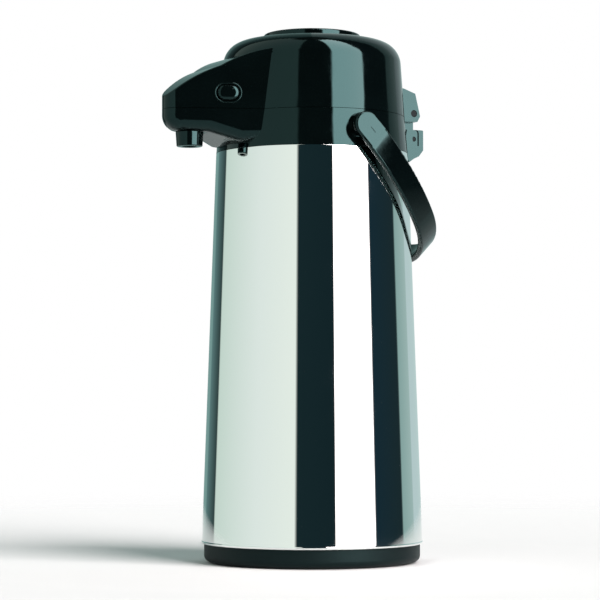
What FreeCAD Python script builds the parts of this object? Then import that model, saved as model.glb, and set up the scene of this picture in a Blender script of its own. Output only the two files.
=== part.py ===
import FreeCAD, Part
import math
import os
import re
import Sketcher

# Thermal airpot: a glass-lined jug with a pump lid, a bail handle and a base that turns.
# Millimetres. +Z is up, the origin is the centre of the base on the table, the spout points to -Y,
# the lid hinge is at +Y and the bail handle turns about X.

SIZES = {
    # turning base
    "foot_lift": 0.4,
    "base_radius": 76.5,
    "base_side_height": 12.6,
    "base_wall": 2.2,
    "base_floor": 2.6,
    "base_floor_lift": 1.6,
    "base_rim_width": 5.0,
    "base_round": 4.8,
    "foot_ring_radius": 71.0,
    "foot_ring_width": 10.0,
    "glide_radius": 56.0,
    "glide_width": 8.0,
    "glide_thickness": 2.0,
    "hub_radius": 14.0,
    "swivel_bolt_radius": 4.0,
    "swivel_head_radius": 8.5,
    "swivel_head_height": 1.2,
    "swivel_boss_height": 10.0,
    # clearances
    "running_gap": 0.3,
    "turn_gap": 0.4,
    "screw_gap": 0.05,
    "fit_gap": 0.2,
    # steel body
    "body_bottom_radius": 77.9,
    "body_top_radius": 68.3,
    "shell_height": 276.2,
    "shell_wall": 0.8,
    "hem_height": 1.6,
    "hem_width": 3.6,
    "lip_width": 3.6,
    "cup_wall": 2.4,
    "cup_flange": 2.4,
    # glass liner and what holds it
    "liner_clearance": 2.0,
    "liner_bottom_lift": 23.0,
    "liner_corner": 20.0,
    "neck_radius": 30.0,
    "neck_height": 12.5,
    "neck_drop": 5.6,
    "glass_wall": 1.8,
    "vacuum_gap": 4.0,
    "neck_vacuum_gap": 1.5,
    "support_radius": 49.0,
    "support_wall": 2.4,
    "support_hole": 16.0,
    "cushion_thickness": 2.4,
    "cushion_radius": 44.0,
    "gasket_width": 6.0,
    "gasket_cap": 2.2,
    "gasket_lap": 2.6,
    "flange_thickness": 4.0,
    "flange_radius": 50.0,
    # collar
    "collar_height": 25.6,
    "collar_top_radius": 66.1,
    "collar_wall": 2.4,
    "deck_thickness": 2.4,
    "deck_hole": 36.0,
    "skirt_depth": 8.6,
    "flange_screw_circle": 45.0,
    "flange_screw_radius": 1.8,
    "flange_screw_length": 5.6,
    "flange_screw_head_radius": 3.6,
    "flange_screw_head_height": 2.0,
    # beak
    "beak_reach": 117.5,
    "beak_nose": 11.2,
    "beak_taper": 23.7,
    "beak_root": 50.0,
    "beak_wall": 2.4,
    "beak_chin_round": 11.6,
    "beak_chin_height": 10.4,
    "beak_heel_y": 68.0,
    "beak_heel_height": 3.3,
    "beak_sole_y": 88.0,
    "beak_sole_height": 9.8,
    "beak_edge_round": 9.5,
    "beak_brow_height": 8.6,
    "beak_brow_round": 95.0,
    "beak_ridge_y": 84.0,
    "beak_ridge_height": 29.7,
    "beak_crest_height": 42.5,
    "beak_crest_round": 82.0,
    "beak_ridge_round": 1.2,
    # lid
    "lid_gap": 0.3,
    "lid_height": 53.9,
    "lid_top_radius": 62.4,
    "lid_crown": 0.8,
    "lid_crown_radius": 42.0,
    "lid_shoulder": 16.2,
    "lid_wall": 2.4,
    "guide_length": 24.0,
    "guide_wall": 2.8,
    "lid_base_thickness": 2.4,
    "lid_base_lift": 0.6,
    "lid_base_drop": 5.0,
    "post_radius": 3.6,
    "post_circle": 52.0,
    "lid_screw_radius": 1.5,
    "lid_screw_length": 12.0,
    "lid_screw_head_radius": 3.0,
    "lid_screw_head_height": 1.4,
    # push plate, pump and lock
    "plate_radius": 34.5,
    "plate_gap": 0.8,
    "plate_rise": 5.6,
    "plate_thickness": 2.4,
    "plate_skirt": 26.5,
    "plate_skirt_wall": 2.2,
    "plate_dish": 0.6,
    "plate_dish_radius": 27.0,
    "plate_round": 1.2,
    "bellows_radius": 22.0,
    "bellows_fold": 3.5,
    "bellows_wall": 0.9,
    "bellows_height": 35.8,
    "plunger_radius": 23.0,
    "plunger_thickness": 2.4,
    "plunger_hub": 9.0,
    "air_hole": 3.0,
    "valve_radius": 6.0,
    "valve_thickness": 1.4,
    "spring_radius": 13.0,
    "spring_wire": 0.8,
    "spring_pitch": 7.2,
    "lock_travel": 6.0,
    "lock_width": 8.0,
    "lock_length": 11.0,
    "lock_y": 18.0,
    "lock_stem": 4.0,
    "lock_recess": 0.9,
    "lock_drop": 12.4,
    "lock_tongue": 2.4,
    # stopper and its plumbing
    "seat_clearance": 1.4,
    "plug_depth": 22.0,
    "plug_ring_height": 6.0,
    "plug_ring_depth": 1.5,
    "stopper_flange_radius": 33.0,
    "stopper_flange_thickness": 3.0,
    "stopper_head_radius": 20.0,
    "stopper_head_height": 13.5,
    "air_port_radius": 2.0,
    "air_port_circle": 13.0,
    "tube_radius": 4.5,
    "tube_bore": 3.5,
    "tube_lift": 4.0,
    "ball_radius": 4.6,
    "chamber_radius": 6.2,
    "chamber_height": 9.5,
    "cap_radius": 9.0,
    "pipe_radius": 5.25,
    "pipe_bore": 3.75,
    "pipe_rise": 8.0,
    "pipe_bend": 7.0,
    "pipe_socket": 11.0,
    "ring_section": 1.7,
    "mouth_radius": 14.0,
    "mouth_ring": 17.0,
    "mouth_ring_height": 2.2,
    "nozzle_y": 97.5,
    "nozzle_radius": 9.7,
    "nozzle_tip_radius": 9.0,
    "nozzle_drop": 10.0,
    "nozzle_neck": 8.0,
    "nozzle_bore": 5.0,
    # release buttons on the sides of the beak
    "button_y": 79.6,
    "button_height": 10.6,
    "button_length": 15.0,
    "button_width": 10.0,
    "button_stand": 0.9,
    "button_rim_length": 19.2,
    "button_rim_width": 12.4,
    "button_rim_depth": 0.8,
    "button_gap": 0.3,
    "button_flange": 2.0,
    "button_flange_thickness": 1.2,
    "latch_reach": 6.0,
    "latch_width": 8.0,
    "latch_clearance": 1.0,
    "saddle_inset": 14.0,
    "button_spring_radius": 3.2,
    "button_spring_wire": 0.4,
    "button_spring_pitch": 2.4,
    # rear hinge and its release lever
    "hinge_y": 79.1,
    "hinge_lift": 7.3,
    "hinge_pin_radius": 2.4,
    "hinge_half_width": 11.0,
    "knuckle_radius": 4.4,
    "tongue_half_width": 5.0,
    "tongue_gap": 0.4,
    "lever_pin_y": 79.5,
    "lever_pin_drop": 11.2,
    "lever_pin_radius": 1.6,
    "bracket_rear": 2.9,
    "bracket_screw_radius": 1.3,
    "bracket_screw_head": 2.6,
    "bracket_screw_head_height": 1.6,
    "bracket_screw_length": 11.0,
    "bracket_screw_low": 13.7,
    "bracket_screw_high": 6.2,
    "dimple_depth": 0.9,
    # bail handle
    "handle_pivot_drop": 11.7,
    "handle_half_width": 77.7,
    "handle_length": 119.0,
    "handle_tip_radius": 62.0,
    "handle_strap_width": 18.0,
    "handle_thickness": 4.5,
    "handle_edge_round": 1.5,
    "handle_rest_angle": 45.0,
    "pivot_boss_radius": 9.0,
    "pivot_boss_reach": 71.5,
    "pivot_screw_radius": 3.0,
    "pivot_head_radius": 5.2,
    "pivot_head_height": 1.6,
    "pivot_screw_start": 63.0,
    "washer_thickness": 1.3,
    "washer_radius": 7.5,
    "cap_recess": 1.2,
    "cap_stand": 0.4,
    "cap_margin": 0.9,
    "cap_tail": 12.0,
    "cap_slot_length": 5.0,
    "cap_slot_width": 1.0,
    "cap_slot_depth": 0.4,
}

# Places and radii that follow from the sizes above.
PLACES = {
    "base_top": "foot_lift + base_side_height",
    "floor_bottom": "foot_lift + base_floor_lift",
    "floor_top": "floor_bottom + base_floor",
    "cup_bottom": "floor_top + running_gap + glide_thickness",
    "cup_floor_top": "cup_bottom + cup_wall",
    "cup_radius": "body_bottom_radius - hem_width - turn_gap - 1.4",
    "shell_bottom": "base_top + turn_gap",
    "hem_top": "shell_bottom + shell_wall",
    "shell_top": "shell_bottom + shell_height",
    "shell_slope": "(body_bottom_radius - body_top_radius) / shell_height",
    "liner_radius": "body_top_radius - shell_wall - liner_clearance",
    "liner_bottom": "cup_floor_top + liner_bottom_lift",
    "liner_lip": "shell_top - neck_drop",
    "liner_neck": "liner_lip - neck_height",
    "liner_shoulder": "liner_neck - (liner_radius - neck_radius)",
    "flask_gap": "glass_wall + vacuum_gap",
    "flask_radius": "liner_radius - flask_gap",
    "flask_neck": "neck_radius - glass_wall - neck_vacuum_gap",
    "mouth_bore": "flask_neck - glass_wall",
    "lip_top": "liner_lip + glass_wall",
    "cushion_bottom": "liner_bottom - cushion_thickness",
    "flange_bottom": "lip_top + gasket_cap",
    "deck_bottom": "flange_bottom + flange_thickness",
    "deck_top": "deck_bottom + deck_thickness",
    "collar_top": "shell_top + collar_height",
    "skirt_radius": "body_top_radius - lip_width - turn_gap",
    "lid_bottom": "collar_top + lid_gap",
    "lid_top": "lid_bottom + lid_height",
    "lid_corner": "lid_top - lid_crown",
    "nose_y": "beak_reach - beak_nose",
    "well_radius": "plate_radius + plate_gap",
    "plate_top": "lid_top + plate_rise",
    "plate_underside": "plate_top - plate_dish - plate_thickness",
    "skirt_bottom": "plate_top - plate_skirt - plate_thickness",
    "lid_base_bottom": "lid_bottom + lid_base_lift",
    "lid_base_top": "lid_base_bottom + lid_base_thickness",
    "pump_floor": "lid_base_bottom - lid_base_drop",
    "pump_seat": "pump_floor + lid_base_thickness",
    "pump_cup_radius": "bellows_radius + 1.6",
    "plunger_bottom": "pump_seat + bellows_height",
    "plug_radius": "mouth_bore - seat_clearance",
    "plug_bottom": "deck_bottom - plug_depth",
    "stopper_top": "deck_bottom + stopper_flange_thickness + stopper_head_height",
    "chamber_bottom": "deck_bottom + stopper_flange_thickness + 2.0",
    "chamber_top": "chamber_bottom + chamber_height",
    "tube_bottom": "liner_bottom + flask_gap + glass_wall + tube_lift",
    "pipe_z": "chamber_bottom + chamber_height / 2 - 0.75",
    "pipe_top_z": "pipe_z + pipe_rise",
    "beak_floor": "shell_top + beak_chin_height",
    "nozzle_bottom": "beak_floor - nozzle_drop",
    "hinge_z": "collar_top + hinge_lift",
    "lever_pin_z": "collar_top - lever_pin_drop",
    "pivot_z": "collar_top - handle_pivot_drop",
    "button_z": "lid_bottom + button_height",
    "handle_tip_centre": "handle_length - handle_tip_radius",
    "handle_side_radius": "(handle_half_width ^ 2 + handle_tip_centre ^ 2 - handle_tip_radius ^ 2)"
                          " / (2 * (handle_half_width - handle_tip_radius))",
    "handle_side_centre": "handle_side_radius - handle_half_width",
    "handle_join_span": "sqrt(handle_side_centre ^ 2 + handle_tip_centre ^ 2)",
    "lock_seat": "plate_top - plate_dish - lock_recess + 0.1",
    "lock_z": "plate_top - plate_dish - lock_drop",
    "lock_reach": "plate_radius - plate_skirt_wall - 1.5",
    "arm_inner": "handle_half_width - handle_thickness",
    "arm_end": "handle_strap_width / 2",
    "pivot_head_seat": "handle_half_width - cap_recess - fit_gap - pivot_head_height",
}

X_AXIS = FreeCAD.Vector(1, 0, 0)
Y_AXIS = FreeCAD.Vector(0, 1, 0)
Z_AXIS = FreeCAD.Vector(0, 0, 1)
UPWARD = FreeCAD.Rotation()
FRONTWARD = FreeCAD.Rotation(X_AXIS, 90)
REARWARD = FreeCAD.Rotation(X_AXIS, -90)
RIGHTWARD = FreeCAD.Rotation(Y_AXIS, 90)

doc = FreeCAD.newDocument("Airpot")
sheet = doc.addObject("Spreadsheet::Sheet", "Sizes")
for row, (alias, number) in enumerate(SIZES.items(), start=1):
    sheet.set(f"A{row}", alias.replace("_", " "))
    sheet.set(f"B{row}", str(number))
    sheet.setAlias(f"B{row}", alias)
doc.recompute()

BRACKET_SCREW_HEIGHTS = ("collar_top - bracket_screw_low", "collar_top - bracket_screw_high")

# Side outlines of the rear parts: how far each corner lies behind and above the pin it is drawn from.
LUG_CORNERS = [(-24, -6.5), (2.9, -5.9), (5.2, -1.8), (1.1, 14.6), (-8.7, 17.8), (-24, 18.4)]
LEVER_CORNERS = [
    (-6.5, 6.6), (-8.1, -4), (-7.9, -9.3), (-6, -13.8), (-4.5, -17.1), (-0.7, -14.5), (3.7, -12.5),
    (7.4, -8), (7.4, 6), (6.8, 6.6),
]
LEVER_SLOT = [(-20, -7), (4.5, -7), (4.5, 20), (-20, 20)]
LEVER_SPRING = [(0.1, -5.5), (0.5, -5.5), (1.7, 4.5), (1.3, 4.5)]

NODES = {}


def size(text):
    """Write a formula of size names as an expression that reads the sheet."""

    def lookup(match):
        word = match.group(0)
        if word in PLACES:
            return f"({size(PLACES[word])})"
        if word in SIZES:
            return f"Sizes.{word}"
        return word

    return re.sub(r"[a-z][a-z_0-9]*", lookup, str(text))


def value(text):
    """Work out a formula of size names as a plain number."""
    return float(sheet.evalExpression(size(text)))


def bind(thing, **formulas):
    """Tie properties to formulas: a double underscore in a name stands for a dot."""
    for name, formula in formulas.items():
        thing.setExpression(name.replace("__", "."), size(formula))
    return thing


def place(thing, spot, turn=UPWARD):
    """Turn an object, and tie its three coordinates to formulas."""
    thing.Placement = FreeCAD.Placement(FreeCAD.Vector(), turn)
    for axis, formula in zip("xyz", spot):
        thing.setExpression(f"Placement.Base.{axis}", size(formula))
    return thing


def swing(thing, spot, axis, angle):
    """Turn an object about an axis by a formula in degrees, and tie its place to formulas."""
    place(thing, spot, FreeCAD.Rotation(axis, value(angle)))
    thing.setExpression("Placement.Rotation.Angle", f"({size(angle)}) * 1 deg")
    return thing


def shell_radius(height):
    """Outer radius of the steel body at a height."""
    return f"(body_bottom_radius - shell_slope * ({height} - shell_bottom))"


def beak_half(reach, inset):
    """Half width of the beak at a distance in front of the axis, inside its skin by the inset."""
    return f"((beak_nose - {inset} + (nose_y - {reach}) * sin(beak_taper)) / cos(beak_taper))"


# ---- sketches and bodies ----------------------------------------------------------------------


def new_body(name):
    return doc.addObject("PartDesign::Body", name)


def outline(body, plane, corners, offset=None):
    """Closed sketch in an origin plane. A corner is (across, up), or (across, up, radius, turn)
    where an arc of that radius runs to the next corner, turning "left" or "right"."""
    sketch = body.newObject("Sketcher::SketchObject", f"{body.Name}_sketch")
    support = next(f for f in body.Origin.OriginFeatures if f.Role == plane)
    sketch.AttachmentSupport = [(support, "")]
    sketch.MapMode = "FlatFace"
    if offset is not None:
        sketch.setExpression("AttachmentOffset.Base.z", size(offset))
    points = [FreeCAD.Vector(value(c[0]), value(c[1]), 0) for c in corners]
    ends = []
    for index, corner in enumerate(corners):
        start = points[index]
        finish = points[(index + 1) % len(points)]
        if len(corner) == 2:
            sketch.addGeometry(Part.LineSegment(start, finish))
            ends.append((1, 2))
            continue
        radius = value(corner[2])
        leftward = corner[3] == "left"
        chord = finish - start
        side = FreeCAD.Vector(-chord.y, chord.x, 0).normalize()
        rise = max(radius**2 - (chord.Length / 2) ** 2, 0) ** 0.5
        centre = (start + finish) / 2 + side * (rise if leftward else -rise)
        first, last = (start, finish) if leftward else (finish, start)
        circle = Part.Circle(centre, Z_AXIS, radius)
        sketch.addGeometry(Part.ArcOfCircle(circle, circle.parameter(first), circle.parameter(last)))
        ends.append((1, 2) if leftward else (2, 1))
    for index, corner in enumerate(corners):
        following = (index + 1) % len(corners)
        begin, end = ends[index]
        sketch.addConstraint(Sketcher.Constraint("Coincident", index, end, following, ends[following][0]))
        for kind, formula, number in (
            ("DistanceX", corner[0], points[index].x),
            ("DistanceY", corner[1], points[index].y),
        ):
            which = sketch.addConstraint(Sketcher.Constraint(kind, -1, 1, index, begin, number))
            sketch.setExpression(f"Constraints[{which}]", size(formula))
        if len(corner) == 4:
            which = sketch.addConstraint(Sketcher.Constraint("Radius", index, value(corner[2])))
            sketch.setExpression(f"Constraints[{which}]", size(corner[2]))
    return sketch


def revolve(body, corners):
    """Turn an outline of (radius, height) corners about the body's Z axis."""
    sketch = outline(body, "XZ_Plane", corners)
    feature = body.newObject("PartDesign::Revolution", f"{body.Name}_turn")
    feature.Profile = sketch
    feature.ReferenceAxis = (sketch, ["V_Axis"])
    feature.Angle = 360
    doc.recompute()
    return feature


def pad(body, plane, corners, length, offset=None, symmetric=False):
    """Pad an outline by a length: upward from its plane, or half to each side of it."""
    feature = body.newObject("PartDesign::Pad", f"{body.Name}_pad")
    feature.Profile = outline(body, plane, corners, offset)
    feature.SideType = "Symmetric" if symmetric else "One side"
    feature.setExpression("Length", size(length))
    doc.recompute()
    return feature


def pocket(body, plane, corners, length, offset=None):
    """Cut an outline through the body, half of the length to each side of the plane."""
    before = body.Shape.Volume
    feature = body.newObject("PartDesign::Pocket", f"{body.Name}_pocket")
    feature.Profile = outline(body, plane, corners, offset)
    feature.SideType = "Symmetric"
    feature.setExpression("Length", size(length))
    doc.recompute()
    if not body.Shape.Volume < before - 1e-6:
        raise RuntimeError(f"{feature.Name} cuts nothing")
    return feature


def fillet(body, radius, wanted):
    """Round the edges of the body that the test picks out."""
    tip = body.Tip
    names = [f"Edge{i}" for i, edge in enumerate(tip.Shape.Edges, start=1) if wanted(edge)]
    if not names:
        raise RuntimeError(f"{body.Name} has no edge to round")
    feature = body.newObject("PartDesign::Fillet", f"{body.Name}_round")
    feature.Base = (tip, names)
    feature.setExpression("Radius", size(radius))
    doc.recompute()
    return feature


def turned(name, corners):
    """Body of revolution from (radius, height) corners."""
    body = new_body(name)
    revolve(body, corners)
    return body


def ring_edge(radius, height):
    """Test for the circular edge of a turned body at a radius and height."""
    r, z = value(radius), value(height)

    def wanted(edge):
        box = edge.BoundBox
        return abs(box.ZMin - z) < 0.01 and abs(box.ZMax - z) < 0.01 and abs(box.XMax - r) < 0.01

    return wanted


# ---- primitives and booleans ------------------------------------------------------------------


def cylinder(name, radius, height, spot, turn=UPWARD):
    thing = doc.addObject("Part::Cylinder", name)
    bind(thing, Radius=radius, Height=height)
    return place(thing, spot, turn)


def block(name, low, spans):
    thing = doc.addObject("Part::Box", name)
    bind(thing, Length=spans[0], Width=spans[1], Height=spans[2])
    return place(thing, low)


def fuse(name, *things):
    joined = doc.addObject("Part::MultiFuse", name)
    joined.Shapes = list(things)
    joined.Refine = True
    return joined


def cut(name, base, *tools):
    trimmed = doc.addObject("Part::Cut", name)
    trimmed.Base = base
    trimmed.Tool = tools[0] if len(tools) == 1 else fuse(f"{name}_tools", *tools)
    return trimmed


def mirrored(name, source):
    copy = doc.addObject("Part::Mirroring", name)
    copy.Source = source
    copy.Base = FreeCAD.Vector()
    copy.Normal = X_AXIS
    return copy


def group(name, things):
    bundle = doc.addObject("Part::Compound", name)
    bundle.Links = things
    return bundle


def coil(name, radius, wire, pitch, height, spot, turn=UPWARD):
    """Round-wire helical spring."""
    path = doc.addObject("Part::Helix", f"{name}_path")
    bind(path, Radius=radius, Pitch=pitch, Height=height)
    path.SegmentLength = 1
    section = doc.addObject("Part::Circle", f"{name}_wire")
    bind(section, Radius=wire)
    place(section, (radius, "0", "0"), FRONTWARD)
    doc.recompute()
    spring = doc.addObject("Part::Sweep", name)
    spring.Sections = [section]
    spring.Spine = (path, [])
    spring.Solid = True
    spring.Frenet = True
    return place(spring, spot, turn)


def screw(name, head_radius, head_height, radius, length, spot, turn=UPWARD):
    """Screw whose head starts at the spot and whose shank follows along the turned Z."""
    body = turned(name, [
        ("0", "0"),
        (head_radius, "0"),
        (head_radius, head_height),
        (radius, head_height),
        (radius, f"{head_height} + {length}"),
        ("0", f"{head_height} + {length}"),
    ])
    return place(body, spot, turn)


def node(name, thing):
    """Name a finished piece."""
    thing.Label = name
    NODES[name] = thing
    return thing


# ---- turning base -----------------------------------------------------------------------------


def swivel_base():
    inner = "base_radius - base_wall"
    body = turned("swivel_base", [
        ("swivel_bolt_radius + running_gap", "floor_bottom"),
        ("base_radius - base_rim_width", "floor_bottom"),
        ("base_radius - base_rim_width", "foot_lift"),
        ("base_radius", "foot_lift"),
        ("base_radius", "base_top"),
        (inner, "base_top"),
        (inner, "floor_top"),
        ("hub_radius", "floor_top"),
        ("hub_radius", "cup_bottom - turn_gap"),
        ("swivel_bolt_radius + running_gap", "cup_bottom - turn_gap"),
    ])
    fillet(body, "base_round", ring_edge("base_radius", "foot_lift"))
    node("swivel_base", body)
    foot = ring("foot_ring_radius", "foot_ring_width", "0", "floor_bottom")
    node("anti_slip_ring", turned("anti_slip_ring", foot))
    glide = ring("glide_radius", "glide_width", "cup_bottom - glide_thickness", "cup_bottom")
    node("swivel_glide", turned("swivel_glide", glide))
    node("swivel_bolt", screw(
        "swivel_bolt", "swivel_head_radius", "swivel_head_height", "swivel_bolt_radius",
        "cup_floor_top + swivel_boss_height - floor_bottom - 1",
        ("0", "0", "floor_bottom - running_gap - swivel_head_height")))


def ring(outer, width, low, high):
    """Corners of a plain ring."""
    return [(f"{outer} - {width}", low), (outer, low), (outer, high), (f"{outer} - {width}", high)]


# ---- steel body and glass liner ---------------------------------------------------------------


def outer_shell():
    hem = "shell_bottom + hem_height"
    body = turned("outer_shell", [
        ("body_bottom_radius - hem_width", "shell_bottom"),
        ("body_bottom_radius", "shell_bottom", "hem_height * 0.56", "left"),
        (shell_radius(hem), hem),
        ("body_top_radius", "shell_top"),
        ("body_top_radius - lip_width", "shell_top"),
        ("body_top_radius - lip_width", "shell_top - shell_wall"),
        ("body_top_radius - shell_wall", "shell_top - shell_wall"),
        ("body_bottom_radius - shell_wall", "hem_top"),
        ("body_bottom_radius - hem_width", "hem_top"),
    ])
    node("outer_shell", body)


def base_cup():
    flange = "body_bottom_radius - shell_wall - shell_slope * cup_flange - turn_gap"
    bore = "swivel_bolt_radius + screw_gap"
    boss_top = "cup_floor_top + swivel_boss_height"
    node("base_cup", turned("base_cup", [
        (bore, "cup_bottom"),
        ("cup_radius", "cup_bottom"),
        ("cup_radius", "hem_top"),
        (flange, "hem_top"),
        (flange, "hem_top + cup_flange"),
        ("cup_radius - cup_wall", "hem_top + cup_flange"),
        ("cup_radius - cup_wall", "cup_floor_top"),
        ("swivel_head_radius", "cup_floor_top"),
        ("swivel_head_radius", boss_top),
        (bore, boss_top),
    ]))


def liner_support():
    foot = "support_radius + 5"
    web = "support_radius - support_wall"
    node("liner_support", turned("liner_support", [
        (web, "cup_floor_top"),
        (foot, "cup_floor_top"),
        (foot, "cup_floor_top + support_wall"),
        ("support_radius", "cup_floor_top + support_wall"),
        ("support_radius", "cushion_bottom"),
        ("support_hole", "cushion_bottom"),
        ("support_hole", "cushion_bottom - support_wall"),
        (web, "cushion_bottom - support_wall"),
    ]))
    node("liner_cushion", turned("liner_cushion", ring(
        "cushion_radius", "(cushion_radius - support_hole)", "cushion_bottom", "liner_bottom")))


def flask_wall(radius, neck, inset, top):
    """Outer then inner corners of one glass wall: round heel, quarter-round shoulder, straight neck."""
    heel = "liner_bottom + liner_corner"
    heel_x = "liner_radius - liner_corner"
    corner = f"(liner_corner - {inset})"
    shoulder = f"(liner_radius - neck_radius - {inset})"
    wall = "glass_wall"
    outer = [
        ("0", f"liner_bottom + {inset}"),
        (heel_x, f"liner_bottom + {inset}", corner, "left"),
        (radius, heel),
        (radius, "liner_shoulder", shoulder, "left"),
        ("neck_radius", f"liner_shoulder + {shoulder}"),
    ]
    inner = [
        (f"{neck} - {wall}", f"liner_shoulder + {shoulder} - {wall}"),
        ("neck_radius", f"liner_shoulder + {shoulder} - {wall}", f"({shoulder} - {wall})", "right"),
        (f"{radius} - {wall}", "liner_shoulder"),
        (f"{radius} - {wall}", heel, f"({corner} - {wall})", "right"),
        (heel_x, f"liner_bottom + {inset} + {wall}"),
        ("0", f"liner_bottom + {inset} + {wall}"),
    ]
    return outer + top + inner


def glass_liner():
    node("liner_outer_flask", turned("liner_outer_flask", flask_wall(
        "liner_radius", "neck_radius", "0", [
            ("neck_radius", "liner_lip"),
            ("neck_radius - glass_wall", "liner_lip"),
        ])))
    node("liner_inner_flask", turned("liner_inner_flask", flask_wall(
        "flask_radius", "flask_neck", "flask_gap", [
            ("flask_neck", "liner_shoulder + liner_radius - neck_radius - flask_gap"),
            ("flask_neck", "liner_lip"),
            ("neck_radius", "liner_lip"),
            ("neck_radius", "lip_top"),
            ("mouth_bore", "lip_top"),
        ])))


def neck_parts():
    inner = "neck_radius + fit_gap"
    node("neck_gasket", turned("neck_gasket", [
        (inner, "liner_neck + turn_gap"),
        ("neck_radius + gasket_width", "liner_neck + turn_gap"),
        ("neck_radius + gasket_width", "flange_bottom"),
        ("neck_radius - gasket_lap", "flange_bottom"),
        ("neck_radius - gasket_lap", "lip_top"),
        (inner, "lip_top"),
    ]))
    flange = turned("neck_flange_blank", ring(
        "flange_radius", "(flange_radius - neck_radius + gasket_lap)", "flange_bottom", "deck_bottom"))
    holes = [
        cylinder(f"neck_flange_hole_{i}", "flange_screw_radius + screw_gap", "flange_thickness + 2", spot)
        for i, spot in enumerate(screw_spots("flange_bottom - 1"))
    ]
    node("neck_flange", cut("neck_flange_piece", flange, *holes))
    screws = [
        screw(f"flange_screw_{i}", "flange_screw_head_radius", "flange_screw_head_height",
              "flange_screw_radius", "flange_screw_length", spot, FreeCAD.Rotation(X_AXIS, 180))
        for i, spot in enumerate(screw_spots("deck_top + flange_screw_head_height"))
    ]
    node("flange_screws", group("flange_screws", screws))


def screw_spots(height, circle="flange_screw_circle"):
    """Four places on a circle, half way between the axes."""
    leg = f"{circle} * cos(45)"
    return [(f"{sx} * {leg}", f"{sy} * {leg}", height) for sx in (1, -1) for sy in (1, -1)]


# ---- collar with the lower half of the beak ---------------------------------------------------


def beak_plan(inset, root="beak_root"):
    """Corners of the beak seen from above, inside its skin by the inset."""
    nose = f"(beak_nose - {inset})"
    across = f"{nose} * cos(beak_taper)"
    front = f"-(nose_y + {nose} * sin(beak_taper))"
    return [
        (f"-{beak_half(root, inset)}", f"-{root}"),
        (f"-{across}", front, nose, "left"),
        (across, front),
        (beak_half(root, inset), f"-{root}"),
    ]


def lower_beak(name, inset, low):
    """Lower half of the beak: its plan, trimmed underneath to the curved sole."""
    body = new_body(name)
    pad(body, "XY_Plane", beak_plan(inset), f"collar_top - {low} + {inset}", low)
    chin = f"(beak_chin_round - {inset})"
    front = f"-(beak_reach + 0.1 - {inset})"
    below = f"{low} - 5"
    far = "-(beak_reach + 20)"
    pocket(body, "YZ_Plane", [
        ("-beak_root + 5", below),
        ("-beak_root + 5", f"shell_top + beak_heel_height + {inset}"),
        ("-beak_heel_y", f"shell_top + beak_heel_height + {inset}"),
        ("-beak_sole_y", f"shell_top + beak_sole_height + {inset}"),
        (f"{front} + {chin}", f"beak_floor + {inset}", chin, "right"),
        (front, f"beak_floor + {inset} + {chin}"),
        (far, f"beak_floor + {inset} + {chin}"),
        (far, below),
    ], "200")
    high = value("collar_top") - 3

    def lower_edge(edge):
        box = edge.BoundBox
        return box.ZMax < high and max(box.YLength, box.ZLength) > 0.05 and box.XLength < 60

    fillet(body, f"beak_edge_round - {inset}", lower_edge)
    return body


def collar():
    top_inner = "collar_top_radius - collar_wall"
    ring_body = turned("collar_ring", [
        ("deck_hole", "deck_bottom"),
        ("skirt_radius - collar_wall", "deck_bottom"),
        ("skirt_radius - collar_wall", "shell_top - skirt_depth"),
        ("skirt_radius", "shell_top - skirt_depth"),
        ("skirt_radius", "shell_top"),
        ("body_top_radius", "shell_top"),
        ("collar_top_radius", "collar_top"),
        (top_inner, "collar_top"),
        ("body_top_radius - collar_wall", "deck_top"),
        ("deck_hole", "deck_top"),
    ])
    outer = lower_beak("collar_beak", "0", "shell_top")
    core = cylinder("collar_core", "collar_top_radius - collar_wall / 2", "collar_height + 20",
                    ("0", "0", "shell_top - 10"))
    beak = cut("collar_beak_trimmed", outer, core)
    bosses = [
        cylinder("pivot_boss_right", "pivot_boss_radius", "pivot_boss_reach - pivot_screw_start",
                 ("pivot_screw_start", "0", "pivot_z"), RIGHTWARD),
    ]
    bosses.append(mirrored("pivot_boss_left", bosses[0]))
    whole = fuse("collar_whole", ring_body, beak, *bosses)
    channel = lower_beak("collar_channel", "beak_wall", "deck_top")
    pivots = cylinder("pivot_holes", "pivot_screw_radius + screw_gap", "4 * handle_half_width",
                      ("-2 * handle_half_width", "0", "pivot_z"), RIGHTWARD)
    spout = cylinder("nozzle_hole", "nozzle_neck + fit_gap", "collar_height",
                     ("0", "-nozzle_y", "shell_top"))
    seat = cylinder("nozzle_seat", "nozzle_radius + fit_gap", "beak_floor - shell_top",
                    ("0", "-nozzle_y", "shell_top"))
    bolts = [
        cylinder(f"flange_bolt_hole_{i}", "flange_screw_radius + fit_gap", "deck_thickness + 4", spot)
        for i, spot in enumerate(screw_spots("deck_bottom - 2"))
    ]
    rear = [
        cylinder(f"bracket_bolt_hole_{i}", "bracket_screw_radius + screw_gap", "14",
                 ("0", "body_top_radius - 10", height), REARWARD)
        for i, height in enumerate(BRACKET_SCREW_HEIGHTS)
    ]
    node("collar", cut("collar_piece", whole, channel, pivots, spout, seat, *bolts, *rear))


# ---- stopper, dip tube and delivery pipe ------------------------------------------------------


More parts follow.
